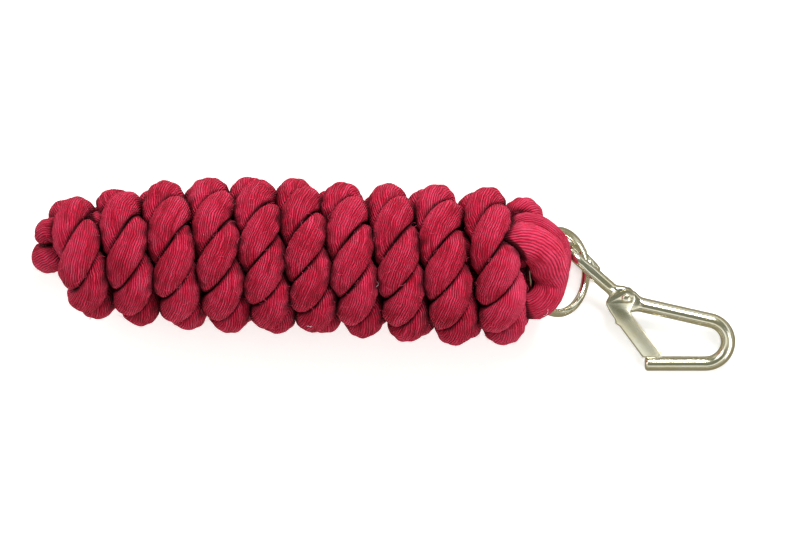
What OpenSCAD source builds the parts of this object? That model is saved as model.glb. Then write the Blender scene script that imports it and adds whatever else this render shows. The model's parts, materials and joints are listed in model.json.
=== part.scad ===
// Horse lead rope, coiled up for storage: a soft three strand rope spliced
// round a steel ring, with a bar trigger hook hanging on that ring.
// +Z up, the floor is Z = 0. The hank lies along X and the hook is at +X.

/* [Rope] */
// Diameter of the free rope
rope_d = 20.5; // [16:0.5:24]
// Diameter where the rope is spliced tight through the ring
eye_d = 18.4; // [14:0.2:18.4]

/* [Hank] */
// Radius of the wound hank in its middle
hank_r = 35.5; // [30:0.5:40]
// Height of the hank as it lies, pressed flat below
hank_h = 64; // [52:1:72]
// Length of the wound turns, from the hook's end back to the bight
hank_len = 219.5; // [190:0.5:240]
// How far the hank is turned from X, seen from above
hank_turn = -2.7; // [-5:0.1:0]

/* [Ring] */
// Inside diameter of the welded ring
ring_bore = 35; // [34.6:0.2:42]
// Wire diameter of the ring
ring_wire = 4; // [3:0.1:4.2]
// Height of the wire above the floor, where the ring comes lowest
ring_low = 8.2; // [7:0.2:9]
// Gap between the hank's last turn and the ring
ring_gap = 1.7; // [1.2:0.1:2.4]

/* [Hook bar] */
// Diameter of the hook's bar
bar_d = 7; // [6:0.1:8]
// Diameter of the bar where it is drawn down for the shank and eye
shank_d = 5.2; // [4.4:0.1:5.4]
// Centreline radius of the bend at the hook's end
bend_r = 10.8; // [9:0.2:13]
// Length of straight bar from the bend back to the open nose
nose_len = 28.8; // [26:0.2:31]
// Free play round the ring's wire inside the hook's eye
eye_play = 2.7; // [2.5:0.1:3.2]
// How far the hook leans up from the floor towards the ring
hook_lean = 15.2; // [14.5:0.1:16]

/* [Gate] */
// Thickness of the flattened bar at the pivot
lug_t = 4.6; // [3.6:0.1:5]
// Sheet thickness of the folded gate
sheet = 1; // [0.8:0.1:1.2]
// Gap between the flattened bar and each cheek of the gate
cheek_gap = 0.2; // [0.1:0.05:0.3]
// Diameter of the rivet
rivet_d = 3.2; // [2.6:0.1:3.6]
// Running clearance of the rivet in the bar, on the radius
rivet_clearance = 0.05; // [0.02:0.01:0.1]
// Diameter of the rivet's heads
rivet_head_d = 4.6; // [4:0.1:6]
// Thickness of the leaf spring
spring_t = 0.5; // [0.3:0.05:0.6]

/* [Hidden] */

$fn = 64;
rope_colour = [0.76, 0.13, 0.27];
metal_colour = [0.80, 0.79, 0.70];

// Hank: the outline of its turns, as [radius, distance along the hank]
hank_y = 6.1;
hank_right = 63.5;
hank_left = hank_right - hank_len;
hank_outline = [
    [0, hank_left], [20, hank_left], [27, hank_left + 7], [hank_r - 4, hank_left + 26],
    [hank_r - 1, hank_left + 46], [hank_r, hank_left + 64], [hank_r, hank_right - 30],
    [hank_r - 1.5, hank_right - 14], [hank_r - 6, hank_right - 5], [20, hank_right],
    [0, hank_right],
];
// Bight of the core that stands out of the left end
bight_r = rope_d / 2 + 0.3;
bight_out = 9.6;
bight_y = 14;
bight_lean = 30;

// Ring: its high side is held in the rope's eye, and it leans down to the hook
ring_r = (ring_bore + ring_wire) / 2;
ring_hold = [hank_right + ring_gap + ring_wire / 2, 1.2, 36.1];
ring_lean = asin((ring_hold[2] - ring_low) / (2 * ring_r));
// Point of the wire that the hook hangs on, a little round from the lowest
hook_round = 14;
hook_at = ring_hold + ring_r * [(1 + cos(hook_round)) * cos(ring_lean), sin(hook_round),
    -(1 + cos(hook_round)) * sin(ring_lean)];

// Route of the rope through the ring, from inside the hank and back
eye_route = [
    [44, -12, 22], [55, -16, 20], [66, -14, 18], [75, -7, 20], [80, -1, 28],
    [81, 5, 38], [76, 11, 47], [67, 17, 51], [57, 19, 49], [44, 14, 42],
];
eye_sides = 12;
eye_steps = 4;

// Hook: drawn in its own plane, x along the nose and y up the hook
bar_r = bar_d / 2;
hair = 0.03;
off_floor = 0.2;
shank_r = shank_d / 2;
bend_x = 56.57;
nose_x = bend_x - nose_len;
upper_slope = 13.2;
pivot = [18.57, 33];
upper_dir = 180 - upper_slope;
upper_line = [sin(upper_dir), -cos(upper_dir)];
bend_end = [bend_x, bend_r] + bend_r * upper_line;
upper_below = (pivot - bend_end) * upper_line;
round_from = 6.5;
arm_len = (pivot - bend_end) * [cos(upper_dir), sin(upper_dir)] - round_from;
lug_r = 5;
arm_w = bar_d + 0.8;
shank_dir = 138;
shank_below = 1.8;
shank_line = [sin(shank_dir), -cos(shank_dir)];
shank_start = pivot - shank_below * shank_line + round_from * heading(shank_dir);
// Eye: how far up the hook its centre lies, so that it hangs level with the
// ring's wire, and how its end closes. The wire rests in the eye off its centre
eye_r = ring_wire / 2 + eye_play + shank_r;
eye_rise = 0.44;
eye_off = [0.84, 0.84];
eye_up = (hook_at[2] + eye_rise - bar_r - off_floor + eye_r * cos(hook_lean)) / sin(hook_lean);
eye_back = 4.32;
shank_len = (eye_up - shank_start[1]) / sin(shank_dir) + eye_back;
eye_x = shank_start[0] + (eye_up - shank_start[1]) / tan(shank_dir);
nose_below = eye_up * cos(hook_lean) + eye_r * sin(hook_lean) + eye_off[1];
eye_turn = 205;
return_len = 3.5;
close_turn = 30;
close_r = 8;
tip_len = 2;

// Gate: its outline about the pivot, from the ear round the back to the tip
gate_w = lug_t + 2 * (cheek_gap + sheet);
ear_r = 4.1;
tip_y = bar_r + 0.25 - pivot[1];
back_line = [[-9.5, -3.4], [-7.8, -6.8], [-5.5, -10.2], [-5, -12.6], [-3.1, -13.8], [8, tip_y]];
gate_inner = [[17.7, tip_y], [2.8, -9.7], [1.7, -5.8], [3.4, -2.3]];
gate_top = [[-2.2, 3.5], [-7.3, 1]];
inward = [0.8, 0.6];
rivet_r = rivet_d / 2;
head_h = 0.8;
leaf_w = lug_t - 0.4;

// Smooth curve through the points p, with n steps between two of them
function spline(p, n) = let (last = len(p) - 1) [
    for (i = [0 : last - 1], k = [0 : n - 1])
        let (a = p[max(i - 1, 0)], b = p[i], c = p[i + 1], d = p[min(i + 2, last)], t = k / n)
        0.5 * (2 * b + (c - a) * t + (2 * a - 5 * b + 4 * c - d) * t * t
            + (3 * b - a - 3 * c + d) * t * t * t),
    p[last],
];
function unit(v) = v / norm(v);
function heading(a) = [cos(a), sin(a)];

// Closed tube of diameter d along the points of path
module tube(path, d, sides) {
    last = len(path) - 1;
    rings = [for (i = [0 : last])
        let (t = unit(path[min(i + 1, last)] - path[max(i - 1, 0)]),
             u = unit(cross([1, 0.3, 0.2], t)), v = cross(t, u))
        for (k = [0 : sides - 1]) path[i] + d / 2 * (cos(360 * k / sides) * u + sin(360 * k / sides) * v)];
    walls = [for (i = [0 : last - 1], k = [0 : sides - 1], half = [0, 1])
        let (a = i * sides, b = a + sides, k2 = (k + 1) % sides)
            half == 0 ? [a + k, b + k, b + k2] : [a + k, b + k2, a + k2]];
    ends = [[for (k = [0 : sides - 1]) k],
            [for (k = [sides - 1 : -1 : 0]) last * sides + k]];
    polyhedron(rings, concat(ends, walls));
}

// Sleeve a hair wider than a bar of radius r, which joins two legs of it
module sleeve(r) {
    rotate([0, 90, 0]) cylinder(r = r + hair, h = 1, center = true);
}

// Round bar of radius r that sets off along +x. Each leg is
// [straight length, angle turned to the left, radius of that turn]
module bent_bar(legs, r, i = 0) {
    leg = legs[i];
    rotate([0, 90, 0]) cylinder(r = r, h = leg[0]);
    if (i + 1 < len(legs)) {
        translate([leg[0], 0, 0]) sleeve(r);
        translate([leg[0], leg[2], 0]) {
            rotate([0, 0, -90]) rotate_extrude(angle = leg[1]) translate([leg[2], 0]) circle(r = r);
            rotate([0, 0, leg[1]]) translate([0, -leg[2], 0]) {
                sleeve(r);
                bent_bar(legs, r, i + 1);
            }
        }
    }
}

// Places a piece drawn in the hook's own plane
module hook_plane() {
    translate([hook_at[0] - eye_x + eye_off[0], hook_at[1] - nose_below, bar_r + off_floor])
        rotate([hook_lean, 0, 0]) children();
}

// Flat plate of thickness t, centred on the hook's plane
module plate(t) {
    translate([0, 0, -t / 2]) linear_extrude(t) children();
}

module rope_hank() {
    color(rope_colour)
    intersection() {
        union() {
            translate([0, hank_y, hank_h / 2]) rotate([0, 90, hank_turn])
                rotate_extrude() polygon(hank_outline);
            translate([hank_left - bight_out + bight_r + rope_d / 2, bight_y, hank_h / 2])
                rotate([90 - bight_lean, 0, 0]) rotate([0, 0, 90])
                    rotate_extrude(angle = 180) translate([bight_r, 0]) circle(d = rope_d);
        }
        translate([-250, -100, 0]) cube([500, 200, hank_h]);
    }
}

module rope_eye() {
    color(rope_colour) tube(spline(eye_route, eye_steps), eye_d, eye_sides);
}

module ring() {
    color(metal_colour)
    translate(ring_hold) rotate([0, ring_lean, 0]) translate([ring_r, 0, 0])
        rotate_extrude() translate([ring_r, 0]) circle(d = ring_wire);
}

// The bar from the nose round the bend to the flattened lug
module hook_arm() {
    translate([nose_x, 0, 0])
        bent_bar([[nose_len, upper_dir, bend_r], [arm_len]], bar_r);
}

// Flattened lug with the rivet's bore, and an arm each way into the round bar
module lug() {
    plate(lug_t) difference() {
        union() {
            translate(pivot) circle(lug_r);
            translate(pivot) rotate(upper_dir) translate([-round_from - 2, upper_below - arm_w / 2])
                square([round_from + 2, arm_w]);
            translate(pivot) rotate(shank_dir) translate([0, shank_below - arm_w / 2])
                square([round_from + 2, arm_w]);
        }
        translate(pivot) circle(rivet_r + rivet_clearance);
    }
}

// Shank, and the eye curled down round the ring and closed against the shank
module hook_eye() {
    translate([shank_start[0], shank_start[1], 0]) rotate([0, 0, shank_dir]) rotate([-90, 0, 0])
        bent_bar([[shank_len, eye_turn, eye_r], [return_len, close_turn, close_r], [tip_len]],
            shank_r);
}

module hook_bar() {
    color(metal_colour) hook_plane() {
        hook_arm();
        lug();
        hook_eye();
    }
}

// Side of the gate: ear, thumb hump and channel
module cheek_shape() {
    difference() {
        union() {
            circle(ear_r);
            polygon(concat(gate_top, back_line, gate_inner));
        }
        circle(rivet_r);
    }
}

module gate() {
    color(metal_colour) hook_plane() translate(pivot) {
        for (side = [-1, 1])
            translate([0, 0, side * (gate_w - sheet) / 2]) plate(sheet) cheek_shape();
        plate(gate_w) polygon(concat(back_line,
            [for (i = [len(back_line) - 1 : -1 : 0]) back_line[i] + sheet * inward]));
    }
}

module gate_rivet() {
    color(metal_colour) hook_plane() translate(pivot) {
        cylinder(r = rivet_r, h = gate_w + 2 * head_h, center = true);
        for (side = [-1, 1])
            translate([0, 0, side * (gate_w + head_h) / 2])
                cylinder(d = rivet_head_d, h = head_h, center = true);
    }
}

// Leaf spring: held flat on the back of the gate, its free end on the lug
module gate_spring() {
    heel = back_line[4] + sheet * inward;
    foot = back_line[5] + sheet * inward;
    line = [heel + 0.85 * (foot - heel), heel + 0.1 * (foot - heel), [-2.7, -9.5], [-4.2, -5.3]];
    color("silver") hook_plane() translate(pivot)
        plate(leaf_w) polygon(concat(line,
            [for (i = [len(line) - 1 : -1 : 0]) line[i] + spring_t * inward]));
}

rope_hank();
rope_eye();
ring();
hook_bar();
gate();
gate_rivet();
gate_spring();
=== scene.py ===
"""Horse lead rope: a soft laid cotton rope wound up for storage, spliced
round a plated ring, with a bar trigger hook hanging on the ring."""

import json
import math

import bmesh
import bpy
import numpy as np
from bpy.props import FloatProperty, FloatVectorProperty, IntProperty, PointerProperty
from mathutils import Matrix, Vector


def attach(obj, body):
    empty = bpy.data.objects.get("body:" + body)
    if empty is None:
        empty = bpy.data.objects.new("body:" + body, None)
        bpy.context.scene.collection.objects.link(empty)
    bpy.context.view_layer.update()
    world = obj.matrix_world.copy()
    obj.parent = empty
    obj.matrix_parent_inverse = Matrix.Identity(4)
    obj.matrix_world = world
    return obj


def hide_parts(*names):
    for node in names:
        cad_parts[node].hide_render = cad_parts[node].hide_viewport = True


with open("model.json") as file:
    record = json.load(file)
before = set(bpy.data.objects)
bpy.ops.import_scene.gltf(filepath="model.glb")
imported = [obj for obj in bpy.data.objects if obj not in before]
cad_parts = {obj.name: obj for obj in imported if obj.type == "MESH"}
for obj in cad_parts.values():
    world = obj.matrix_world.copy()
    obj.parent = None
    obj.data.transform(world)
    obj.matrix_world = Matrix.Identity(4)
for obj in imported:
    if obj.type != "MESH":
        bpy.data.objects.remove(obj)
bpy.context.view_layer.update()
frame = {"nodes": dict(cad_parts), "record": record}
RECORD_JOINTS = {j["name"]: j for j in frame["record"]["behaviour"]["joints"]}

bl_info = {
    "name": "Lead rope",
    "version": (1, 0, 0),
    "blender": (4, 5, 0),
    "location": "View3D > Sidebar > Lead rope",
    "description": "Makes a wound lead rope with its ring and trigger hook",
    "category": "Object",
}

MM = 0.001
# The floor's height and half its side, in metres
FLOOR_Z = 0.0
FLOOR_HALF = 12.0

# The turns of the hank, from the bight to the hook's end. Each row is where the
# turn passes over the top: its place along X, the middle of the turn in Y, and
# the turn's half width and half height, all to the rope's centreline, in mm.
TURNS = [
    (-143.0, 8.0, 15.5, 20.5), (-122.0, 9.3, 20.5, 21.3), (-100.5, 9.6, 23.5, 21.7),
    (-79.5, 9.5, 25.0, 21.8), (-58.5, 9.4, 25.7, 21.8), (-38.0, 8.4, 24.8, 21.8),
    (-16.8, 7.0, 24.3, 21.7), (5.5, 5.8, 25.3, 21.8), (26.5, 4.6, 26.6, 21.8),
    (52.5, 3.6, 24.5, 21.7), (62.5, 3.6, 21.0, 19.0),
]
HANK_MIDDLE_Z = 32.0
# The spliced end, through the ring and back into the hank, in mm
EYE_ROUTE = [
    (50, -6, 27), (57, -13, 22), (65.5, -14.5, 18), (74, -8, 20), (78, -1, 28),
    (78.5, 6, 38), (74, 13, 46), (66, 18, 49), (57, 17, 46), (46, 12, 40),
]
# Bight of the core at the far end: the middle of its half circle, in mm
BIGHT_MIDDLE = (-144.8, 16.0, 33.0)
BIGHT_R = 10.55
BIGHT_LEAN = math.radians(30)
# Where the rope leaves the core and turns out to start winding, in mm
TURN_OUT = [(40, 0, 28), (50, 2, 35), (57.5, 8, 42), (61, 17, 42), (60.5, 24, 34)]
# The winding's start and end, counted in turns from the bight
FIRST_TURN, LAST_TURN = 10.68, 0.47
# Along the rope from its spliced end, in mm: where the smooth stretch fades into
# the lay, and where the rope crosses the ring's wire
EYE_SMOOTH = (72, 96)
WIRE_CROSSING = 27
# How high the strands are lifted there, over and under the wire, and how far it
# reaches along the rope, in mm
OVER_WIRE, UNDER_WIRE, LIFT_REACH = 14.5, 6.0, 31
# The rope's two core legs from their middle, and the points along the rope, in mm
CORE_APART = 8.0
STEP = 2.6
# Where the lay has come round to at each turn, in degrees added to a steady lay
LAY_SHIFT = [36, 35, 65, 90, 76, 36, -20, 54, -13, -67, -67]
# Settling: strands closer than NEAR are looked at, points less than OWN_POINTS
# apart along one strand are not, and a strand keeps clear of the wire's line and
# the floor and no further than MOST_ASIDE from the rope's line, in mm
NEAR, OWN_POINTS = 20.0, 9
WIRE_CLEAR, FLOOR_CLEAR, MOST_ASIDE = 7.3, 4.9, 7.3
# How strongly a round of settling pulls points back, in the core and in the turns,
# pushes them apart, and evens the strands
HOLD_CORE, HOLD_TURNS = 0.05, 0.10
PUSH, SMOOTHING = 0.5, 0.18
# Sections: how far a neighbour is felt, the rounding of an end, the least radius
# and the least height over the floor, in mm
FELT, END_ROUND, LEAST_R, LEAST_Z = 19.0, 4.0, 1.2, 0.3
# Points along the rope within which the buried strand may overlap the other, how
# much further out it lies than that one, and its radius as a share of that one's
BURIED_POINTS, BURIED_OUT, BURIED_R = 16, 5, 0.55
# Waves in the strands' unevenness, and their longest and shortest, in metres
SLUB_WAVES, SLUB_LONG, SLUB_SHORT = 14, 0.045, 0.012
# Length and half thickness of a loose fibre and of a bit of lint, in metres
FIBRE = (0.0030, 0.00005)
LINT = (0.0042, 0.00012)
# The hook's bar, drawn about the gate's pivot in the hook's plane, in mm and degrees
BEND_AT = (38.0, -22.2)
BEND_R, NOSE_LEN = 10.8, 28.8
UPPER_DIR, ARM_LEN = 166.8, 34.0
SHANK_FROM, SHANK_DIR, SHANK_LEN = (-6.03, 3.01), 138, 21.18
# Added to the radius of the shank's straight, and where this sets in from the eye
SHANK_SWELL, SWELL_OVER = 0.4, (2.0, 9.0)
EYE_R, EYE_TURN = 7.3, 205
RETURN_LEN, CLOSE_TURN, CLOSE_R = 3.5, 30, 8.0
BAR_STEP = 0.8
# How far from the rivet the flattened lug starts and ends its change to the bar:
# squareness, width and thickness
LUG_SQUARE, LUG_WIDE, LUG_FLAT = (3.6, 8.2), (3.2, 8.0), (5.6, 9.5)
# The gate's rounded fold and broken edges, in metres
FOLD_R, EDGE_BREAK = 0.0021, 0.00018
# The ring's weld: its place as a share of the way round, its spread and its height
WELD_AT, WELD_SPREAD, WELD_HIGH = 0.08, 0.006, 0.09
# Where the camera is, the height it is set for and how much it sees there across
CAMERA_AT = (0.005925, 0.00379, 3.0)
SUBJECT_Z, SEEN_WIDE = 0.022, 0.3792
# The surroundings' colours from the horizon up. Their dark top leans back, so that
# their bright band shows in the metal.
SKY_LEAN = math.radians(20)
SKY = [
    (0.0, (0.30, 0.27, 0.19, 1.0)), (0.02, (0.75, 0.74, 0.66, 1.0)),
    (0.12, (0.70, 0.70, 0.62, 1.0)), (0.17, (0.12, 0.13, 0.09, 1.0)),
    (0.32, (0.10, 0.11, 0.08, 1.0)), (0.37, (1.15, 1.15, 1.1, 1.0)),
    (0.56, (1.05, 1.05, 1.0, 1.0)), (0.64, (0.14, 0.15, 0.11, 1.0)),
    (1.0, (0.20, 0.21, 0.165, 1.0)),
]


def placed(name, data):
    """A new object of the data, in the scene."""
    obj = bpy.data.objects.new(name, data)
    bpy.context.collection.objects.link(obj)
    return obj


def meshed(name, verts, faces):
    """A new mesh of the points and faces."""
    mesh = bpy.data.meshes.new(name)
    mesh.from_pydata(verts, [], faces)
    return mesh


def round_faces(rows, sides):
    """Quads between neighbouring rows of points, each row a ring of sides points."""
    return [(i * sides + k, i * sides + (k + 1) % sides, j * sides + (k + 1) % sides,
             j * sides + k) for i, j in zip(rows[:-1], rows[1:]) for k in range(sides)]


def unit(v):
    """The vector, or each row of an array, at length 1."""
    return v / np.linalg.norm(v, axis=-1, keepdims=True)


def clear_line(points, step):
    """Points spaced evenly along a smooth curve through the given points."""
    p = np.asarray(points, float)
    q = np.vstack([2 * p[0] - p[1], p, 2 * p[-1] - p[-2]])
    t = np.linspace(0, 1, 12, endpoint=False)[:, None]
    parts = []
    for a, b, c, d in zip(q[:-3], q[1:-2], q[2:-1], q[3:]):
        parts.append(0.5 * (2 * b + (c - a) * t + (2 * a - 5 * b + 4 * c - d) * t ** 2
                            + (3 * b - a - 3 * c + d) * t ** 3))
    return even(np.vstack(parts + [p[-1:]]), step)


def even(line, step):
    """The same line with its points a step apart."""
    far = np.concatenate([[0], np.cumsum(np.linalg.norm(np.diff(line, axis=0), axis=1))])
    n = int(round(far[-1] / step))
    at = np.linspace(0, far[-1], n + 1)
    return np.column_stack([np.interp(at, far, line[:, k]) for k in range(3)])


def eased(line, reach, rounds):
    """The line with its corners eased, its ends held."""
    for _ in range(rounds):
        soft, last = line.copy(), len(line) - reach
        for k in range(1, reach + 1):
            soft[reach:-reach] += line[reach - k:last - k] + line[reach + k:last + k]
        soft[reach:-reach] /= 2 * reach + 1
        line = soft
    return line


def smooth_step(value, low, high):
    """0 below low, 1 above high, and a smooth rise between them."""
    t = np.clip((value - low) / (high - low), 0, 1)
    return t * t * (3 - 2 * t)


def turn_point(turn):
    """A point of the winding, where whole numbers are the passes over the top."""
    rows = np.array(TURNS)
    at = np.arange(1, len(TURNS) + 1)
    x, y, wide, high = (np.interp(turn, at, rows[:, k]) for k in range(4))
    if turn < 1:
        x = rows[0, 0] + (turn - 1) * (rows[1, 0] - rows[0, 0])
    angle = math.pi / 2 + 2 * math.pi * turn
    return (x, y + wide * math.cos(angle), HANK_MIDDLE_Z + high * math.sin(angle))


def core_middle(x):
    """The core's place in Y inside the turn at x, in mm."""
    rows = np.array(TURNS)
    return np.interp(x, rows[:, 0], rows[:, 1])


def rope_route():
    """The rope's centreline from the spliced end to the tail, in metres."""
    aside = CORE_APART * math.sin(BIGHT_LEAN), CORE_APART * math.cos(BIGHT_LEAN)
    out = [(x, core_middle(x) + aside[0], HANK_MIDDLE_Z + aside[1]) for x in range(30, -130, -20)]
    back = [(x, core_middle(x) - aside[0], HANK_MIDDLE_Z - aside[1])
            for x in range(-110, 35, 20)]
    bight = []
    for k in range(7):
        a = math.pi / 2 + math.pi * k / 6
        across = BIGHT_R * math.sin(a)
        bight.append((BIGHT_MIDDLE[0] + BIGHT_R * math.cos(a),
                      BIGHT_MIDDLE[1] + across * math.sin(BIGHT_LEAN),
                      BIGHT_MIDDLE[2] + across * math.cos(BIGHT_LEAN)))
    turns = [turn_point(t) for t in np.arange(FIRST_TURN, LAST_TURN - 0.001, -1 / 24)]
    line = clear_line(EYE_ROUTE + out + bight + back + TURN_OUT + turns, STEP / 3)
    return even(eased(line, 5, 2), STEP) * MM


def carried_frames(line):
    """Unit vectors across the line, two at each point, carried along it without twist."""
    ahead = unit(np.gradient(line, axis=0))
    side = unit(np.cross(ahead[0], (0.3, 0.2, 1.0)))
    sides = carried(side, ahead)
    return sides, np.cross(ahead, sides)


def carried(side, ahead):
    """The side vector kept square to each direction ahead in turn."""
    sides = []
    for t in ahead:
        side = unit(side - t * np.dot(side, t))
        sides.append(side)
    return np.array(sides)


def in_eye(count):
    """1 on the stretch that is drawn smooth through the ring, 0 on laid rope."""
    return 1 - smooth_step(np.arange(count) * STEP, *EYE_SMOOTH)


def strand_lines(line, sizes):
    """Centrelines of the strands, laid right-handed round the rope's line."""
    side, up = carried_frames(line)
    eye = in_eye(len(line))
    turn = np.cumsum(2 * math.pi * STEP * MM / sizes.lay_length * (1 - eye)) + shift_along(line)
    # One strand is uppermost where the rope crosses the ring's wire, and goes over
    # the wire while the other goes under it
    under = int(round(WIRE_CROSSING / STEP))
    turn += math.atan2(up[under, 2], side[under, 2]) - turn[under]
    strands = []
    for k in range(sizes.strands):
        a = turn + 2 * math.pi * k / sizes.strands
        buried = sizes.eye_strand_out * (1 if k == 0 else BURIED_OUT)
        out = sizes.strand_out * (1 - eye) + buried * eye
        strands.append(line + out[:, None] * (np.cos(a)[:, None] * side
                                              + np.sin(a)[:, None] * up))
    strands[0][:, 2] += OVER_WIRE * MM * lifted(len(line))
    for s in strands[1:]:
        s[:, 2] += UNDER_WIRE * MM * lifted(len(line))
    return strands


def lifted(count):
    """1 where the strands part round the ring's wire, fading to 0 on both sides."""
    gap = np.abs(np.arange(count) * STEP - WIRE_CROSSING) / LIFT_REACH
    return np.where(gap < 1, np.cos(math.pi / 2 * np.clip(gap, 0, 1)) ** 2, 0)


def rope_middle(strands):
    """The line midway between the strands."""
    return sum(strands) / len(strands)


def shift_along(line):
    """The shift of the lay at each point of the line, in radians."""
    n = len(line)
    x = line[:, 0] / MM
    turns = winding_start(line)
    shift = np.zeros(n)
    rows = np.array(TURNS)[:, 0]
    shift[turns:] = np.interp(x[turns:], rows, np.radians(LAY_SHIFT))
    shift[:turns] = shift[turns]
    return shift


def winding_start(line):
    """Index of the point where the rope starts to wind round its core."""
    start = np.array(turn_point(FIRST_TURN)) * MM
    return int(np.argmin(np.linalg.norm(line - start, axis=1)))


def near_pairs(points, strand, index, reach, skip):
    """Pairs of strand points within reach that aren't near along one strand."""
    first, second = [], []
    for i in range(0, len(points), 400):
        gap = np.linalg.norm(points[i:i + 400, None] - points[None], axis=2)
        a, b = np.nonzero(gap < reach)
        a = a + i
        keep = (a < b) & ((strand[a] != strand[b]) | (np.abs(index[a] - index[b]) > skip))
        first.append(a[keep])
        second.append(b[keep])
    return np.concatenate(first), np.concatenate(second)


def settle(strands, hold, sizes, obstacle):
    """Presses the strands apart where they are too close, as soft rope nests."""
    number, count = len(strands), len(strands[0])
    points = np.vstack(strands)
    rest = points.copy()
    strand = np.repeat(np.arange(number), count)
    index = np.tile(np.arange(count), number)
    hold = np.tile(hold, number)[:, None]
    a, b = near_pairs(points, strand, index, NEAR * MM, OWN_POINTS)
    want = sizes.strand_apart
    for _ in range(sizes.settle_rounds):
        w = points[b] - points[a]
        gap = np.linalg.norm(w, axis=1)
        push = np.clip(want - gap, 0, None)[:, None] * w / np.maximum(gap, 1e-6)[:, None]
        move = np.zeros_like(points)
        np.add.at(move, a, -push)
        np.add.at(move, b, push)
        count_near = np.zeros(len(points))
        np.add.at(count_near, a, (gap < want).astype(float))
        np.add.at(count_near, b, (gap < want).astype(float))
        points += PUSH * move / np.maximum(count_near, 1)[:, None]
        w = points[:, None] - obstacle[None]
        gap = np.linalg.norm(w, axis=2)
        near = gap.argmin(axis=1)
        rows = np.arange(len(points))
        short = np.clip(WIRE_CLEAR * MM - gap[rows, near], 0, None)[:, None]
        points += PUSH * short * w[rows, near] / np.maximum(gap[rows, near], 1e-6)[:, None]
        low = FLOOR_Z + FLOOR_CLEAR * MM
        points[:, 2] += PUSH * np.clip(low - points[:, 2], 0, None)
        points += hold * (rest - points)
        for k in range(number):
            s = points[k * count:(k + 1) * count]
            s[1:-1] += SMOOTHING * (s[:-2] + s[2:] - 2 * s[1:-1])
    strands = [points[k * count:(k + 1) * count] for k in range(number)]
    middle = rope_middle(strands)
    for s in strands:
        aside = np.linalg.norm(s - middle, axis=1)
        most = MOST_ASIDE * MM
        soft = np.where(aside > 0.8 * most,
                        most - 0.2 * most * np.exp(-(aside - 0.8 * most) / (0.2 * most)), aside)
        s[:] = middle + (s - middle) * (soft / np.maximum(aside, 1e-6))[:, None]
    return strands


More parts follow.
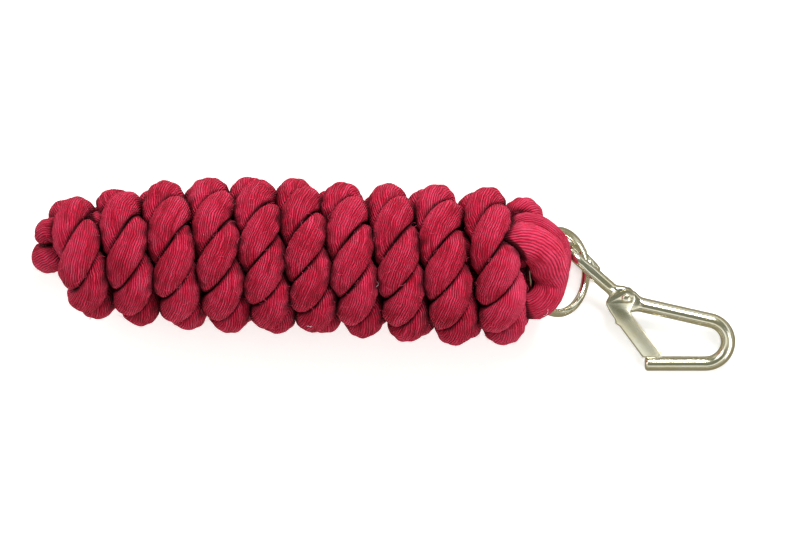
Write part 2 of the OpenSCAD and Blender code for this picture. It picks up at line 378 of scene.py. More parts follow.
def strand_mesh(name, strands, line, sizes, obstacle, obstacle_r):
    """One mesh of the strands, each flattened where it meets another."""
    around = sizes.strand_sides
    number, count = len(strands), len(line)
    centres = np.vstack(strands)
    strand = np.repeat(np.arange(number), count)
    index = np.tile(np.arange(count), number)
    aheads, outs, ups = [], [], []
    for s in strands:
        t = unit(np.gradient(s, axis=0))
        out = s - line
        out = unit(out - t * (out * t).sum(1)[:, None])
        aheads.append(t)
        outs.append(out)
        ups.append(np.cross(t, out))
    aheads, outs, ups = map(np.vstack, (aheads, outs, ups))
    angle = math.pi + 2 * math.pi * np.arange(around) / around
    ways = (np.cos(angle)[None, :, None] * outs[:, None]
            + np.sin(angle)[None, :, None] * ups[:, None])
    # A free strand is a little flatter than round: wide across, less deep
    free = 1 + 0.10 * np.sin(angle) ** 2 - 0.02 * np.cos(angle)
    eye = np.tile(in_eye(count), number)
    eye_r = np.where(strand == 0, sizes.eye_strand_r, BURIED_R * sizes.eye_strand_r)
    plump = sizes.strand_r * (1 - eye) + eye_r * eye
    plump[strand == 0] *= 1 - 0.18 * lifted(count) ** 0.5
    radius = plump[:, None] * free[None]
    # Ends close in a rounded cap
    end = np.minimum(index, count - 1 - index) * STEP * MM
    cap = np.sqrt(np.clip(1 - (1 - np.clip(end / (END_ROUND * MM), 0, 1)) ** 2, 0.02, 1))
    limit = np.full(radius.shape, 1.0)
    reach = FELT * MM
    for i in range(0, len(centres), 200):
        w = centres[None] - centres[i:i + 200, None]
        gap = np.linalg.norm(w, axis=2)
        near = (gap < reach) & ((strand[i:i + 200, None] != strand[None])
                                | (np.abs(index[i:i + 200, None] - index[None]) > OWN_POINTS))
        # The strand buried in the smooth stretch is left to overlap the other
        near &= ~((eye[i:i + 200, None] > 0.5) & (eye[None] > 0.5)
                  & (strand[i:i + 200, None] != strand[None])
                  & (np.abs(index[i:i + 200, None] - index[None]) < BURIED_POINTS))
        a, b = np.nonzero(near)
        w = w[a, b]
        gap = gap[a, b]
        along = np.einsum("pak,pk->pa", ways[i + a], w)
        cut = np.where(along > 1e-5, gap[:, None] ** 2 / (2 * np.maximum(along, 1e-5)), 1.0)
        np.minimum.at(limit, i + a, cut)
    for i in range(0, len(centres), 200):
        w = obstacle[None] - centres[i:i + 200, None]
        gap = np.linalg.norm(w, axis=2)
        a, b = np.nonzero(gap < reach)
        w, gap = w[a, b], gap[a, b]
        along = np.einsum("pak,pk->pa", ways[i + a], w)
        room = np.maximum(gap - obstacle_r, 0.0008)
        cut = np.where(along > 1e-5, room[:, None] * gap[:, None] / np.maximum(along, 1e-5), 1.0)
        np.minimum.at(limit, i + a, cut)
    limit -= sizes.crease
    # Soft minimum of the free radius and the room there is
    soft = (sizes.softness * (1 - eye) + 0.25 * sizes.softness * eye)[:, None]
    mix = np.clip(0.5 + 0.5 * (limit - radius) / soft, 0, 1)
    pressed = (1 - mix).ravel()
    radius = limit * (1 - mix) + radius * mix - soft * mix * (1 - mix)
    radius = np.maximum(radius, LEAST_R * MM)
    # Evened along the strand, so that sections flow into each other
    for _ in range(2):
        r = radius.reshape(number, count, around)
        r[:, 1:-1] = 0.25 * r[:, :-2] + 0.5 * r[:, 1:-1] + 0.25 * r[:, 2:]
        radius = r.reshape(-1, around)
    radius *= slubs(index, strand, angle, sizes)
    radius *= cap[:, None]
    verts = centres[:, None] + radius[:, :, None] * ways
    # What lies under the floor is pressed flat on it
    low, flat = FLOOR_Z + LEAST_Z * MM, 2 * MM
    z = verts[:, :, 2]
    verts[:, :, 2] = np.where(z < low + flat, low + flat * np.exp((z - low - flat) / flat), z)
    verts = verts.reshape(-1, 3)
    ring, side = np.meshgrid(np.arange(count - 1), np.arange(around), indexing="ij")
    quads, uvs = [], []
    far = np.arange(count) * STEP * MM
    twist = np.cumsum(STEP * MM / sizes.yarn_turn * (1 - 0.97 * in_eye(count)))
    for k in range(number):
        base = (k * count + ring) * around
        nxt = (side + 1) % around
        quad = np.stack([base + side, base + nxt, base + around + nxt, base + around + side], -1)
        quads.append(quad.reshape(-1, 4))
        u0, u1 = side / around, (side + 1) / around
        t0, t1 = twist[ring], twist[ring + 1]
        v0, v1 = far[ring] + 0.37 * k, far[ring + 1] + 0.37 * k
        uv = np.stack([np.stack([u0 + t0, v0], -1), np.stack([u1 + t0, v0], -1),
                       np.stack([u1 + t1, v1], -1), np.stack([u0 + t1, v1], -1)], -2)
        uvs.append(uv.reshape(-1, 2))
    faces = [tuple(q) for q in np.vstack(quads).tolist()]
    uv = np.vstack(uvs)
    tips = []
    for k in range(number):
        first = list(range(k * count * around, k * count * around + around))
        last = [v + (count - 1) * around for v in first]
        tips += [tuple(reversed(first)), tuple(last)]
    mesh = meshed(name, verts.tolist(), faces + tips)
    layer = mesh.uv_layers.new(name="Yarn")
    spread = np.zeros((len(mesh.loops), 2), np.float32)
    spread[:len(uv)] = uv
    layer.data.foreach_set("uv", spread.ravel())
    # How pressed each point is, which the cotton darkens as painted shade in the creases
    nested = mesh.attributes.new("Nested", "FLOAT", "POINT")
    nested.data.foreach_set("value", pressed.astype(np.float32))
    mesh.shade_smooth()
    return placed(name, mesh)


def slubs(index, strand, angle, sizes):
    """Slow unevenness of the soft strands, close to 1."""
    rng = np.random.default_rng(sizes.seed)
    total = np.ones((len(index), len(angle)))
    for _ in range(SLUB_WAVES):
        waves = rng.uniform(2 * math.pi / SLUB_LONG, 2 * math.pi / SLUB_SHORT)
        around = rng.integers(1, 6)
        start = rng.uniform(0, 2 * math.pi, 8)
        far = index * STEP * MM
        total += sizes.slub / SLUB_WAVES ** 0.5 * 1.4 * np.sin(
            waves * far[:, None] + around * angle[None] + start[strand][:, None])
    return total


def fibre_nodes():
    """Geometry nodes that scatter short bent fibres over a mesh and give only the fibres."""
    tree = bpy.data.node_groups.new("Loose fibres", "GeometryNodeTree")
    for name, kind in (("Geometry", "Geometry"), ("Per square metre", "Float"),
                       ("Length", "Float"), ("Thickness", "Float"), ("Seed", "Int"),
                       ("Material", "Material")):
        tree.interface.new_socket(name, in_out="INPUT", socket_type="NodeSocket" + kind)
    tree.interface.new_socket("Geometry", in_out="OUTPUT", socket_type="NodeSocketGeometry")

    def node(kind, values, **settings):
        return new_node(tree, kind, settings, values).outputs

    given = node("NodeGroupInput", {})
    spread = node("GeometryNodeDistributePointsOnFaces",
                  {"Mesh": given["Geometry"], "Density": given["Per square metre"],
                   "Seed": given["Seed"]})
    bend = node("GeometryNodeCurveQuadraticBezier",
                {"Resolution": 3, "Start": (0, 0, 0), "Middle": (0.5, 0.1, 0.45),
                 "End": (0.95, -0.25, 0.12)})
    slender = node("ShaderNodeMath", {0: given["Thickness"], 1: given["Length"]},
                   operation="DIVIDE")
    round_end = node("GeometryNodeCurvePrimitiveCircle", {"Resolution": 3, "Radius": slender[0]})
    tube = node("GeometryNodeCurveToMesh",
                {"Fill Caps": True, "Curve": bend[0], "Profile Curve": round_end[0]})
    turn = node("FunctionNodeRandomValue",
                {0: (-0.35, -0.35, 0.0), 1: (0.35, 0.35, 2 * math.pi), "Seed": given["Seed"]},
                data_type="FLOAT_VECTOR")
    aim = node("FunctionNodeRotateRotation", {0: spread["Rotation"], 1: turn[0]},
               rotation_space="LOCAL")
    size = node("FunctionNodeRandomValue", {2: 0.45, 3: 1.35, "Seed": given["Seed"]})
    long = node("ShaderNodeMath", {0: size[1], 1: given["Length"]}, operation="MULTIPLY")
    place = node("GeometryNodeInstanceOnPoints",
                 {"Points": spread["Points"], "Instance": tube[0], "Rotation": aim[0],
                  "Scale": long[0]})
    real = node("GeometryNodeRealizeInstances", {0: place[0]})
    paint = node("GeometryNodeSetMaterial", {"Geometry": real[0], "Material": given["Material"]})
    node("NodeGroupOutput", {0: paint[0]})
    return tree


def loose_fibres(name, rope, tree, values):
    """An object of the fibres that the nodes scatter over the rope."""
    obj = placed(name, rope.data)
    fibres = obj.modifiers.new("fibres", "NODES")
    fibres.node_group = tree
    for item in tree.interface.items_tree:
        if item.in_out == "INPUT" and item.name in values:
            fibres[item.identifier] = values[item.name]
    bpy.context.view_layer.update()
    done = obj.evaluated_get(bpy.context.evaluated_depsgraph_get())
    mesh = bpy.data.meshes.new_from_object(done)
    obj.modifiers.clear()
    obj.data = mesh
    for vertex in mesh.vertices:
        vertex.co.z = max(vertex.co.z, FLOOR_Z + 0.0001)
    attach(obj, "rope")
    return obj


def new_node(tree, kind, settings, values):
    """A new node: its settings are made first, then its inputs are set or linked."""
    n = tree.nodes.new(kind)
    for key, value in settings.items():
        if key == "stops":
            while len(n.color_ramp.elements) > 1:
                n.color_ramp.elements.remove(n.color_ramp.elements[-1])
            for k, (at, tone) in enumerate(value):
                e = n.color_ramp.elements[0] if k == 0 else n.color_ramp.elements.new(at)
                e.position, e.color = at, tone
        else:
            setattr(n, key, value)
    for key, value in values.items():
        if isinstance(value, bpy.types.NodeSocket):
            tree.links.new(value, n.inputs[key])
        elif value is not None:
            n.inputs[key].default_value = value
    return n


class Socket:
    """A shader output that can be used in Python arithmetic."""

    def __init__(self, finish, out):
        self.finish, self.out = finish, out

    def math(self, kind, other=None):
        return self.finish.node("ShaderNodeMath", {"operation": kind}, [self, other])

    def __add__(self, other):
        return self.math("ADD", other)

    def __sub__(self, other):
        return self.math("SUBTRACT", other)

    def __mul__(self, other):
        return self.math("MULTIPLY", other)

    def __pow__(self, other):
        return self.math("POWER", other)

    def __rsub__(self, other):
        return self.finish.node("ShaderNodeMath", {"operation": "SUBTRACT"}, [other, self])

    __radd__, __rmul__ = __add__, __mul__


class Finish:
    """A material built from Python expressions."""

    def __init__(self, name, **fixed):
        self.material = bpy.data.materials.new(name)
        self.material.use_nodes = True
        self.tree = self.material.node_tree
        self.shader = self.tree.nodes["Principled BSDF"]
        for key, value in fixed.items():
            self.shader.inputs[key.replace("_", " ")].default_value = value

    def node(self, kind, settings=None, values=(), output=0):
        pairs = values.items() if isinstance(values, dict) else enumerate(values)
        plain = {key: v.out if isinstance(v, Socket) else v for key, v in pairs}
        return Socket(self, new_node(self.tree, kind, settings or {}, plain).outputs[output])

    def noise(self, where, scale, detail=3.0, rough=0.5):
        return self.node("ShaderNodeTexNoise", {},
                         {"Vector": where, "Scale": scale, "Detail": detail, "Roughness": rough})

    def mix(self, a, b, factor, kind="MIX"):
        return self.node("ShaderNodeMix", {"data_type": "RGBA", "blend_type": kind},
                         {0: factor, 6: a, 7: b}, output=2)

    def ramp(self, value, stops):
        grey = [(at, v if hasattr(v, "__len__") else (v, v, v, 1)) for at, v in stops]
        return self.node("ShaderNodeValToRGB", {"stops": grey}, [value])

    def feed(self, name, value):
        self.tree.links.new(value.out, self.shader.inputs[name])

    def bump(self, height, distance, strength=1.0):
        return self.node("ShaderNodeBump", {},
                         {"Height": height, "Distance": distance, "Strength": strength})

    def place(self):
        """Object coordinates."""
        return self.node("ShaderNodeTexCoord", {}, output=3)


def cotton(sizes):
    """Dyed cotton: fine yarns that lie nearly along the rope, soft and matt, with painted shade in
    its yarn gaps and in the creases between strands, and a painted highlight on the yarns' ridges.
    """
    f = Finish("dyed_cotton", Roughness=0.88, Sheen_Weight=0.04, Sheen_Roughness=0.45,
               Sheen_Tint=(1.0, 0.45, 0.6, 1.0), Specular_IOR_Level=0.08)
    uv = f.node("ShaderNodeUVMap", {"uv_map": "Yarn"})
    u = f.node("ShaderNodeSeparateXYZ", {}, [uv])
    v = Socket(f, u.out.node.outputs[1])
    where = f.place()
    # The spliced end is drawn smoother than the hank, and painted paler with less painted shade in
    # its yarn gaps: a painted pool of light on that end
    along = f.node("ShaderNodeSeparateXYZ", {}, [where])
    tarnish_and_lit_end = f.ramp(along * 10.0, [(0.50, 0.0), (0.64, 1.0)])
    wander = f.noise(where, 230.0, 3.0, 0.55)
    phase = u * sizes.yarns + (wander - 0.5) * (1.9 - tarnish_and_lit_end * 1.2)
    ridge = (phase * math.pi).math("SINE").math("ABSOLUTE")
    # Fibres: noise drawn out along the yarns
    fibre_at = f.node("ShaderNodeCombineXYZ", {}, [u * 64.0, v * 110.0, 0.0])
    fibres = f.noise(fibre_at, 1.0, 4.0, 0.7)
    broad = f.noise(where, 34.0, 2.0, 0.5)
    blotch = f.noise(where, 120.0, 3.0, 0.6)
    deep = (*sizes.cotton_deep, 1.0)
    middle = (*sizes.cotton_colour, 1.0)
    bright = (*sizes.cotton_bright, 1.0)
    # The tone is lifted a little at the spliced end, as painted light
    tone = f.ramp(fibres * 0.5 + blotch * 0.3 + broad * 0.2 + tarnish_and_lit_end * 0.07,
                  [(0.36, deep), (0.48, middle), (0.66, bright)])
    # Painted shade: darker in the gaps between the yarns, and in the creases where strands press
    # on each other, mixed toward the gap shadow colour
    yarn_gap_shade = (1.0 - ridge) ** 2.0 * f.ramp(blotch, [(0.35, 0.45), (0.6, 1.0)])
    yarn_gap_shade = yarn_gap_shade * (1.0 - tarnish_and_lit_end * 0.35)
    # Painted highlight on the ridges of the yarns
    lit = f.mix(tone, bright, ridge ** 3.0 * f.ramp(fibres, [(0.45, 0.0), (0.75, 0.8)]))
    nested = f.node("ShaderNodeAttribute", {"attribute_name": "Nested"}, output=2)
    shade = yarn_gap_shade * 0.85 + f.ramp(nested, [(0.02, 0.0), (0.6, 0.85)])
    shade = shade.math("MINIMUM", 0.94)
    f.feed("Base Color", f.mix(lit, (*sizes.cotton_gap, 1.0), shade))
    height = ridge * 0.9 + fibres * 0.5
    f.feed("Normal", f.bump(height, 0.0008, 1.0))
    return f.material


def plated(name, tint, rough, tarnish_and_lit_end=0.5):
    """Bright plated steel with faint scratches and a little tarnish."""
    f = Finish(name, Metallic=1.0, Specular_IOR_Level=0.5)
    where = f.place()
    cloud = f.noise(where, 60.0, 4.0, 0.6)
    fine = f.noise(where, 900.0, 3.0, 0.6)
    warm = (tint[0] * 0.93, tint[1] * 0.86, tint[2] * 0.66, 1.0)
    f.feed("Base Color", f.mix((*tint, 1.0), warm, f.ramp(cloud, [(0.42, 0.0), (0.68, tarnish_and_lit_end)])))
    f.feed("Roughness", cloud * 0.12 + fine * 0.06 + rough)
    f.feed("Normal", f.bump(cloud * 0.8 + fine * 0.2, 0.0001, 0.4))
    return f.material


def metres(name, text, value):
    return FloatProperty(name=name, description=text, default=value, unit="LENGTH")


def share(name, text, value):
    return FloatProperty(name=name, description=text, default=value, subtype="FACTOR")


def amount(name, text, value):
    return FloatProperty(name=name, description=text, default=value)


def whole(name, text, value):
    return IntProperty(name=name, description=text, default=value)


def colour(name, text, value):
    return FloatVectorProperty(name=name, description=text, default=value, subtype="COLOR")


class RopeSizes(bpy.types.PropertyGroup):
    """Sizes and colours of the rope"""

    rope_d: metres("Rope diameter", "Diameter of the free rope", 0.0205)
    strands: whole("Strands", "Strands laid together", 2)
    strand_out: metres("Strand offset", "From the rope's line to a strand's", 0.0054)
    strand_r: metres("Strand radius", "Radius of a free strand", 0.0070)
    strand_apart: metres("Strand spacing", "How close two strands' lines can be pressed", 0.0120)
    lay_length: metres("Lay length", "Rope length of one turn of a strand", 0.0335)
    strand_sides: whole("Strand sides", "Faces round one strand", 40)
    settle_rounds: whole("Settling", "Rounds of pressing strands apart", 60)
    crease: metres("Crease", "Gap left where two strands meet", 0.00015)
    softness: metres("Softness", "How round the edge of a contact is", 0.0016)
    slub: share("Slubs", "Unevenness of the strands", 0.022)
    eye_strand_out: metres("Eye strand offset",
                           "Strand offset where the rope is drawn smooth", 0.0009)
    eye_strand_r: metres("Eye strand radius",
                         "Strand radius where the rope is drawn smooth", 0.0092)
    yarns: whole("Yarns", "Yarns round one strand", 38)
    yarn_turn: metres("Yarn turn", "Strand length of one turn of a yarn", 0.031)
    fuzz: amount("Loose fibres", "Loose fibres per square metre", 15000.0)
    lint: amount("Lint", "Pale bits of lint per square metre", 160.0)
    seed: whole("Seed", "Seed of the unevenness", 11)
    cotton_deep: colour("Deep colour", "Cotton in the shade of others", (0.17, 0.003, 0.009))
    cotton_gap: colour("Gap colour", "Shadow between two yarns", (0.045, 0.001, 0.003))
    cotton_colour: colour("Colour", "Dyed cotton", (0.50, 0.011, 0.040))
    cotton_bright: colour("Bright colour", "Fibres that catch light", (0.86, 0.065, 0.155))


class MetalSizes(bpy.types.PropertyGroup):
    """Sizes and colours of the ring and the hook"""

    ring_wire: metres("Ring wire", "Wire diameter of the ring", 0.004)
    ring_bore: metres("Ring bore", "Inside diameter of the ring", 0.035)
    ring_low: metres("Ring low side", "Height of the ring's low wire", 0.0082)
    bar_d: metres("Bar diameter", "Diameter of the hook's bar", 0.007)
    shank_d: metres("Shank diameter", "Diameter of the shank and eye", 0.0052)
    lug_t: metres("Lug thickness", "Thickness of the flattened bar", 0.0046)
    lug_wide: metres("Lug half width", "Half width of the flattened bar", 0.0051)
    sheet: metres("Gate sheet", "Sheet thickness of the gate", 0.001)
    cheek_gap: metres("Cheek gap", "Gap between the lug and a cheek", 0.0002)
    rivet_d: metres("Rivet diameter", "Diameter of the rivet", 0.0032)
    rivet_head_d: metres("Rivet head", "Diameter of the rivet's heads", 0.0046)
    rivet_head_h: metres("Rivet head height", "Height of a domed head", 0.0009)
    plating: colour("Plating", "Colour of the plated steel", (0.85, 0.83, 0.70))


def swept(name, line, across, up, wide, thick, power, closed=False, cap=0.0, sides=32):
    """A bar along line, its section wide by thick (half sizes) on across and up."""
    count = len(line)
    wide = np.broadcast_to(wide, count).astype(float).copy()
    thick = np.broadcast_to(thick, count).astype(float).copy()
    power = np.broadcast_to(power, count).astype(float)
    a = 2 * math.pi * np.arange(sides) / sides
    c, s = np.cos(a), np.sin(a)
    if not closed:
        far = np.concatenate([[0], np.cumsum(np.linalg.norm(np.diff(line, axis=0), axis=1))])
        end = np.minimum(far, far[-1] - far)
        shrink = np.sqrt(np.clip(1 - (1 - np.clip(end / cap, 0, 1)) ** 2, 0, 1))
        inset = cap * (1 - shrink)
        wide, thick = np.maximum(wide - inset, 1e-5), np.maximum(thick - inset, 1e-5)
    sx = np.sign(c)[None] * np.abs(c)[None] ** (2 / power[:, None])
    sy = np.sign(s)[None] * np.abs(s)[None] ** (2 / power[:, None])
    verts = (line[:, None] + (wide[:, None] * sx)[:, :, None] * across[:, None]
             + (thick[:, None] * sy)[:, :, None] * up[:, None]).reshape(-1, 3)
    faces = round_faces([*range(count)] + [0] * closed, sides)
    if not closed:
        faces += [tuple(range(sides - 1, -1, -1)),
                  tuple((count - 1) * sides + k for k in range(sides))]
    mesh = meshed(name, verts.tolist(), faces)
    facing_out(mesh)
    mesh.shade_smooth()
    return placed(name, mesh)


def facing_out(mesh, merge=0.0):
    """Turns the faces of a closed mesh outwards, its near points merged first."""
    bm = bmesh.new()
    bm.from_mesh(mesh)
    if merge:
        bmesh.ops.remove_doubles(bm, verts=bm.verts, dist=merge)
    bmesh.ops.recalc_face_normals(bm, faces=bm.faces)
    bm.to_mesh(mesh)
    bm.free()


def hook_axes():
    """The gate's pivot, and unit vectors along the nose, up the hook and out of it."""
    joint = RECORD_JOINTS["gate_pivot"]
    out = unit(np.array(joint["axis"], float))
    nose = np.array((1.0, 0.0, 0.0))
    return np.array(joint["pos_m"]), nose, np.cross(out, nose), out


def heading(degrees):
    """A unit vector in the hook's plane."""
    return np.array((math.cos(math.radians(degrees)), math.sin(math.radians(degrees))))


def hook_line(sizes):
    """The bar's line from the nose to the end of the eye, with its half width,
    half thickness and squareness at each point. Drawn about the pivot, in mm."""
    pivot, nose, rise, out = hook_axes()
    bend_at = np.array(BEND_AT)
    flat = [np.array((BEND_AT[0] - NOSE_LEN + d, BEND_AT[1] - BEND_R))
            for d in np.concatenate([[0, 0.15, 0.35, 0.6, 0.9, 1.25, 1.6],
                                     np.arange(2.4, NOSE_LEN, BAR_STEP)])]
    flat += [bend_at + BEND_R * heading(a) for a in np.arange(-90, UPPER_DIR - 90 + 0.1, 3.5)]
    arm_from = bend_at + BEND_R * heading(UPPER_DIR - 90)
    arm_dir, shank_dir = heading(UPPER_DIR), heading(SHANK_DIR)
    shank_from = np.array(SHANK_FROM)
    flat += [arm_from + arm_dir * d for d in np.arange(BAR_STEP, ARM_LEN, BAR_STEP)]
    a, b = arm_from + arm_dir * ARM_LEN, shank_from
    reach = 1.15 * np.linalg.norm(b - a)
    for t in np.linspace(0, 1, 18)[1:-1]:
        flat.append((2 * t ** 3 - 3 * t ** 2 + 1) * a + (t ** 3 - 2 * t ** 2 + t) * reach * arm_dir
                    + (3 * t ** 2 - 2 * t ** 3) * b + (t ** 3 - t ** 2) * reach * shank_dir)
    flat += [shank_from + shank_dir * d for d in np.arange(0, SHANK_LEN, BAR_STEP)]
    line = [np.array((p[0], p[1], 0.0)) for p in flat]
    along = np.array((*shank_dir, 0.0))
    z = np.array((0.0, 0.0, 1.0))
    top = np.array((*(shank_from + shank_dir * SHANK_LEN), 0.0))
    centre = top - EYE_R * z
    for a in np.radians(np.arange(0, EYE_TURN + 0.1, 5)):
        line.append(centre + EYE_R * (z * math.cos(a) + along * math.sin(a)))
    a = math.radians(EYE_TURN)
    ahead = along * math.cos(a) - z * math.sin(a)
    inward = -z * math.cos(a) - along * math.sin(a)
    back = line[-1] + ahead * RETURN_LEN
    line += [line[-1] + ahead * d for d in np.arange(BAR_STEP, RETURN_LEN, BAR_STEP)]
    for t in np.radians(np.arange(0, CLOSE_TURN + 0.1, 6)):
        line.append(back + CLOSE_R * (ahead * math.sin(t) + inward * (1 - math.cos(t))))
    ahead, tip = unit(line[-1] - line[-2]), line[-1]
    line += [tip + ahead * d for d in (0.4, 0.75, 1.1, 1.4, 1.65, 1.85, 2.0)]
    line = np.array(line)
    gap = np.linalg.norm(line[:, :2], axis=1)
    after = np.arange(len(line)) > np.argmin(gap)
    near = np.where(np.arange(len(line)) > len(line) - 60, 99, gap)
    lug = 1 - smooth_step(near, *LUG_SQUARE)
    bar = np.where(after, sizes.shank_d / 2, sizes.bar_d / 2)
    # The straight of the shank is a little thicker than the eye
    straight = after & (np.abs(line[:, 2]) < 1e-6)
    bar = bar + SHANK_SWELL * MM * straight * smooth_step(
        np.linalg.norm(line[:, :2] - top[:2], axis=1), *SWELL_OVER)
    wide = bar + (sizes.lug_wide - bar) * (1 - smooth_step(near, *LUG_WIDE))
    thick = bar + (sizes.lug_t / 2 - bar) * (1 - smooth_step(near, *LUG_FLAT))
    power = 2.0 + 3.2 * lug
    world = pivot + MM * (line[:, :1] * nose + line[:, 1:2] * rise + line[:, 2:] * out)
    return world, wide, thick, power


def hook_sides(line):
    """Across and up vectors carried along the hook's bar, up starting out of its plane."""
    ahead = unit(np.gradient(line, axis=0))
    ups = carried(hook_axes()[3], ahead)
    return np.cross(ups, ahead), ups


def folded_copy(name, node):
    """A copy of a folded sheet piece with its fold rounded and its edges broken."""
    mesh = node.data.copy()
    mesh.materials.clear()
    bm = bmesh.new()
    bm.from_mesh(mesh)
    bmesh.ops.remove_doubles(bm, verts=bm.verts, dist=2e-5)
    bmesh.ops.dissolve_limit(bm, angle_limit=math.radians(1.2), verts=bm.verts, edges=bm.edges)
    bmesh.ops.recalc_face_normals(bm, faces=bm.faces)
    pivot, nose, rise, out = (Vector(v) for v in hook_axes())
    fold = []
    for e in bm.edges:
        if len(e.link_faces) != 2:
            continue
        n = [f.normal for f in e.link_faces]
        sides = [abs(v.dot(out)) for v in n]
        if max(sides) > 0.98 and min(sides) < 0.1:
            cheek = n[0] if sides[0] > sides[1] else n[1]
            back = n[1] if sides[0] > sides[1] else n[0]
            middle = (e.verts[0].co + e.verts[1].co) / 2 - pivot
            on_outside = middle.dot(out) * cheek.dot(out) > 0
            faces_back = back.dot(nose * 0.8 + rise * 0.6) < -0.35
            near_back = middle.dot(rise) < -0.0025
            if on_outside and faces_back and near_back and e.calc_length() > 0.001:
                fold.append(e)
    if fold:
        bmesh.ops.bevel(bm, geom=fold, offset=FOLD_R, offset_type="OFFSET", segments=6,
                        profile=0.5, affect="EDGES", clamp_overlap=True)
    bm.to_mesh(mesh)
    bm.free()
    obj = placed(name, mesh)
    edge = obj.modifiers.new("edge", "BEVEL")
    edge.width, edge.segments, edge.limit_method = EDGE_BREAK, 2, "ANGLE"
    edge.angle_limit = math.radians(50)
    return applied(obj, math.radians(35))


def applied(obj, sharp):
    """The object with its modifiers made part of its mesh, shaded smooth."""
    bpy.context.view_layer.update()
    done = obj.evaluated_get(bpy.context.evaluated_depsgraph_get())
    mesh = bpy.data.meshes.new_from_object(done)
    obj.modifiers.clear()
    obj.data = mesh
    mesh.shade_smooth()
    mesh.set_sharp_from_angle(angle=sharp)
    return obj


def turned_rivet(name, sizes):
    """The rivet, turned about the pivot's axis, with domed heads."""
    pivot, nose, rise, out = hook_axes()
    half = sizes.lug_t / 2 + sizes.cheek_gap + sizes.sheet
    head, high = sizes.rivet_head_d / 2, sizes.rivet_head_h
    profile = [(head * r, half + high * h) for r, h in (
        (0.0, 1.0), (0.3, 0.97), (0.58, 0.86), (0.8, 0.64), (0.94, 0.36), (1.0, 0.1), (0.97, 0.0))]
    profile += [(sizes.rivet_d / 2, half), (sizes.rivet_d / 2, 0.0)]
    profile += [(r, -h) for r, h in reversed(profile[:-1])]
    sides, verts = 32, []
    for r, h in profile:
        for k in range(sides):
            a = 2 * math.pi * k / sides
            round_it = nose * math.cos(a) + rise * math.sin(a)
            verts.append(pivot + round_it * max(r, 1e-5) + out * h)
    faces = round_faces(range(len(profile)), sides)
    faces += [tuple(range(sides)), tuple((len(profile) - 1) * sides + k for k in range(sides))]
    mesh = meshed(name, verts, faces)
    facing_out(mesh, 5e-6)
    mesh.shade_smooth()
    mesh.set_sharp_from_angle(angle=math.radians(50))
    return placed(name, mesh)


def rope_sizes():
    return bpy.context.scene.lead_rope_sizes


def metal_sizes():
    return bpy.context.scene.lead_metal_sizes


def ring_frame():
    """Middle of the ring, its radius, and unit vectors down its lean and across."""
    sizes = metal_sizes()
    hold = np.array(RECORD_JOINTS["ring_swing"]["pos_m"])
    radius = (sizes.ring_bore + sizes.ring_wire) / 2
    lean = math.asin((hold[2] - sizes.ring_low) / (2 * radius))
    down = np.array((math.cos(lean), 0.0, -math.sin(lean)))
    return hold + radius * down, radius, down, np.array((0.0, 1.0, 0.0))


def ring_line(count):
    middle, radius, down, across = ring_frame()
    a = np.linspace(0, 2 * math.pi, count, endpoint=False)[:, None]
    return middle + radius * (np.cos(a) * down + np.sin(a) * across)


class LEAD_OT_rope(bpy.types.Operator):
    """Make the wound rope, strand by strand"""

    bl_idname = "lead.rope"
    bl_label = "Rope"

    def execute(self, context):
        sizes = rope_sizes()
        line = rope_route()
        obstacle = ring_line(90)
        strands = strand_lines(line, sizes)
        start = winding_start(line)
        hold = np.full(len(line), HOLD_CORE)
        hold[start:] = HOLD_TURNS
        strands = settle(strands, hold, sizes, obstacle)
        rope = strand_mesh("lead_rope", strands, rope_middle(strands), sizes, obstacle,
                           metal_sizes().ring_wire / 2 + 0.0002)
        line = even(eased(rope_middle(strands), 2, 1), STEP * MM)
        rope.data.materials.append(cotton(sizes))
        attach(rope, "rope")
        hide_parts("rope_hank", "rope_eye")
        tree = fibre_nodes()
        red = Finish("loose_cotton", Roughness=0.9, Base_Color=(*sizes.cotton_bright, 1.0))
        pale = Finish("lint", Roughness=0.9, Base_Color=(0.72, 0.62, 0.68, 1.0))
        fuzz = loose_fibres("rope_fuzz", rope, tree, {
            "Per square metre": sizes.fuzz, "Length": FIBRE[0], "Thickness": FIBRE[1],
            "Seed": sizes.seed, "Material": red.material})
        lint = loose_fibres("rope_lint", rope, tree, {
            "Per square metre": sizes.lint, "Length": LINT[0], "Thickness": LINT[1],
            "Seed": sizes.seed + 5, "Material": pale.material})
        return {"FINISHED"}


class LEAD_OT_ring(bpy.types.Operator):
    """Make the welded ring"""

    bl_idname = "lead.ring"
    bl_label = "Ring"

    def execute(self, context):
        sizes = metal_sizes()
        line = ring_line(200)
        middle, radius, down, across = ring_frame()
        out = (line - middle) / radius
        flat = np.tile(np.cross(down, across), (len(line), 1))
        # The butt weld stands a little proud where it is closed
        turn = np.arange(len(line)) / len(line)
        weld = 1 + WELD_HIGH * np.exp(-((turn - WELD_AT) / WELD_SPREAD) ** 2)
        half = sizes.ring_wire / 2 * weld
        ring = swept("rope_ring", line, out, flat, half, half, 2.0, closed=True)
        ring.data.materials.append(plated("plated_ring", tuple(sizes.plating), 0.08, 0.35))
        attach(ring, "ring")
        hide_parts("ring")
        return {"FINISHED"}


class LEAD_OT_hook(bpy.types.Operator):
    """Make the hook's bar: nose, bend, flattened lug, shank and eye"""

    bl_idname = "lead.hook"
    bl_label = "Hook bar"

    def execute(self, context):
        sizes = metal_sizes()
        line, wide, thick, power = hook_line(sizes)
        across, up = hook_sides(line)
        hook = swept("trigger_hook", line, across, up, wide, thick, power, cap=0.0016)
        hook.data.materials.append(plated("plated_bar", tuple(sizes.plating), 0.10, 0.6))
        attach(hook, "hook")
        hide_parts("hook_bar")
        return {"FINISHED"}


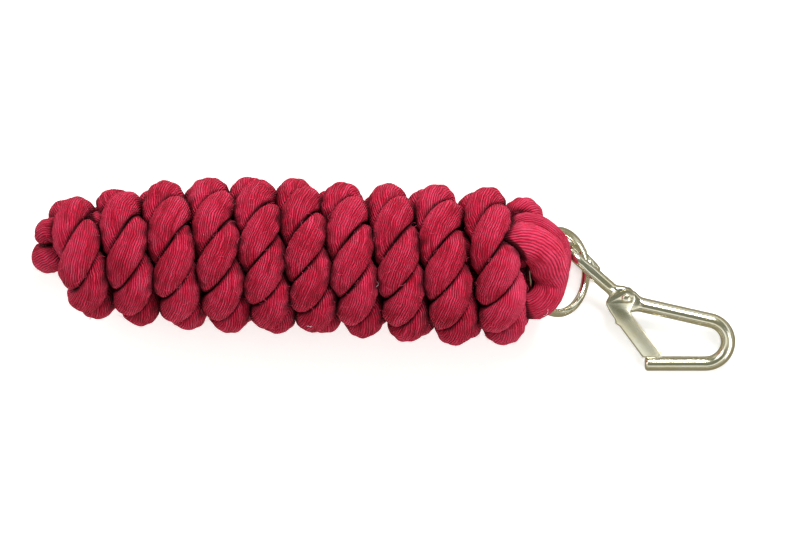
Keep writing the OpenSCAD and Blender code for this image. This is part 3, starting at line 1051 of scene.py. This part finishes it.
class LEAD_OT_gate(bpy.types.Operator):
    """Make the folded gate, its rivet and the leaf spring's finish"""

    bl_idname = "lead.gate"
    bl_label = "Gate, rivet and spring"

    def execute(self, context):
        sizes = metal_sizes()
        gate = folded_copy("hook_gate", frame["nodes"]["gate"])
        gate.data.materials.append(plated("plated_sheet", tuple(sizes.plating), 0.12, 0.8))
        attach(gate, "gate")
        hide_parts("gate")
        rivet = turned_rivet("hook_rivet", sizes)
        rivet.data.materials.append(plated("plated_rivet", tuple(sizes.plating), 0.14, 0.6))
        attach(rivet, "gate")
        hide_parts("gate_rivet")
        spring = frame["nodes"]["gate_spring"]
        spring.data.materials.clear()
        spring.data.materials.append(plated("spring_steel", (0.62, 0.63, 0.64), 0.22, 0.2))
        return {"FINISHED"}


class LEAD_OT_stage(bpy.types.Operator):
    """Make the floor, the lights and the surroundings"""

    bl_idname = "lead.stage"
    bl_label = "Stage"

    def execute(self, context):
        half = FLOOR_HALF
        mesh = meshed("floor", [(-half, -half, FLOOR_Z), (half, -half, FLOOR_Z),
                                (half, half, FLOOR_Z), (-half, half, FLOOR_Z)],
                      [(0, 1, 2, 3)])
        floor = placed("floor", mesh)
        pale = Finish("pale_floor", Roughness=0.9, Base_Color=(0.9, 0.9, 0.9, 1.0),
                      Emission_Color=(1.0, 1.0, 1.0, 1.0), Emission_Strength=0.5)
        mesh.materials.append(pale.material)
        floor.visible_glossy = False
        for name, place, size, power, colour in (
                ("key", (0.35, 0.85, 1.10), 0.5, 19.0, (1.0, 0.985, 0.96)),
                ("fill", (-0.9, 0.25, 1.1), 0.9, 5.0, (0.96, 0.98, 1.0)),
                ("front", (0.95, -0.7, 0.9), 0.7, 5.0, (1.0, 1.0, 1.0))):
            lamp = bpy.data.lights.new(name, "AREA")
            lamp.size = size
            lamp.energy = power
            lamp.color = colour
            obj = placed(name, lamp)
            obj.location = place
            obj.rotation_euler = Vector(place).to_track_quat("Z", "Y").to_euler()
            obj.visible_camera = False
        world = bpy.data.worlds.new("studio")
        world.use_nodes = True
        tree = world.node_tree
        place = new_node(tree, "ShaderNodeTexCoord", {}, {})
        height = new_node(tree, "ShaderNodeVectorMath", {"operation": "DOT_PRODUCT"},
                          {0: place.outputs["Generated"],
                           1: (0.0, math.sin(SKY_LEAN), math.cos(SKY_LEAN))})
        sky = new_node(tree, "ShaderNodeValToRGB", {"stops": SKY}, {0: height.outputs["Value"]})
        background = tree.nodes["Background"].inputs
        tree.links.new(sky.outputs[0], background["Color"])
        background["Strength"].default_value = 1.0
        bpy.context.scene.world = world
        bpy.context.scene.view_settings.view_transform = "Standard"
        return {"FINISHED"}


class LEAD_OT_camera(bpy.types.Operator):
    """Make the camera, looking straight down"""

    bl_idname = "lead.camera"
    bl_label = "Camera"

    def execute(self, context):
        camera = bpy.data.cameras.new("camera")
        camera.sensor_width = 36.0
        camera.lens = camera.sensor_width * (CAMERA_AT[2] - SUBJECT_Z) / SEEN_WIDE
        camera.clip_end = 50.0
        obj = placed("camera", camera)
        obj.location = CAMERA_AT
        bpy.context.scene.camera = obj
        return {"FINISHED"}


class LEAD_PT_panel(bpy.types.Panel):
    """Panel that lists the sizes and the steps"""

    bl_label = "Lead rope"
    bl_idname = "LEAD_PT_panel"
    bl_space_type = "VIEW_3D"
    bl_region_type = "UI"
    bl_category = "Lead rope"

    def draw(self, context):
        for group in (context.scene.lead_rope_sizes, context.scene.lead_metal_sizes):
            box = self.layout.box()
            for key in group.__annotations__:
                box.prop(group, key)
        for step in STEPS:
            self.layout.operator(step.bl_idname)


STEPS = (LEAD_OT_camera, LEAD_OT_rope, LEAD_OT_ring, LEAD_OT_hook, LEAD_OT_gate, LEAD_OT_stage)
CLASSES = (RopeSizes, MetalSizes) + STEPS + (LEAD_PT_panel,)


def register():
    for c in CLASSES:
        bpy.utils.register_class(c)
    bpy.types.Scene.lead_rope_sizes = PointerProperty(type=RopeSizes)
    bpy.types.Scene.lead_metal_sizes = PointerProperty(type=MetalSizes)


def unregister():
    del bpy.types.Scene.lead_metal_sizes
    del bpy.types.Scene.lead_rope_sizes
    for c in reversed(CLASSES):
        bpy.utils.unregister_class(c)


def main():
    register()
    bpy.ops.lead.camera()
    bpy.ops.lead.rope()
    bpy.ops.lead.ring()
    bpy.ops.lead.hook()
    bpy.ops.lead.gate()
    bpy.ops.lead.stage()


if __name__ == "__main__":
    main()
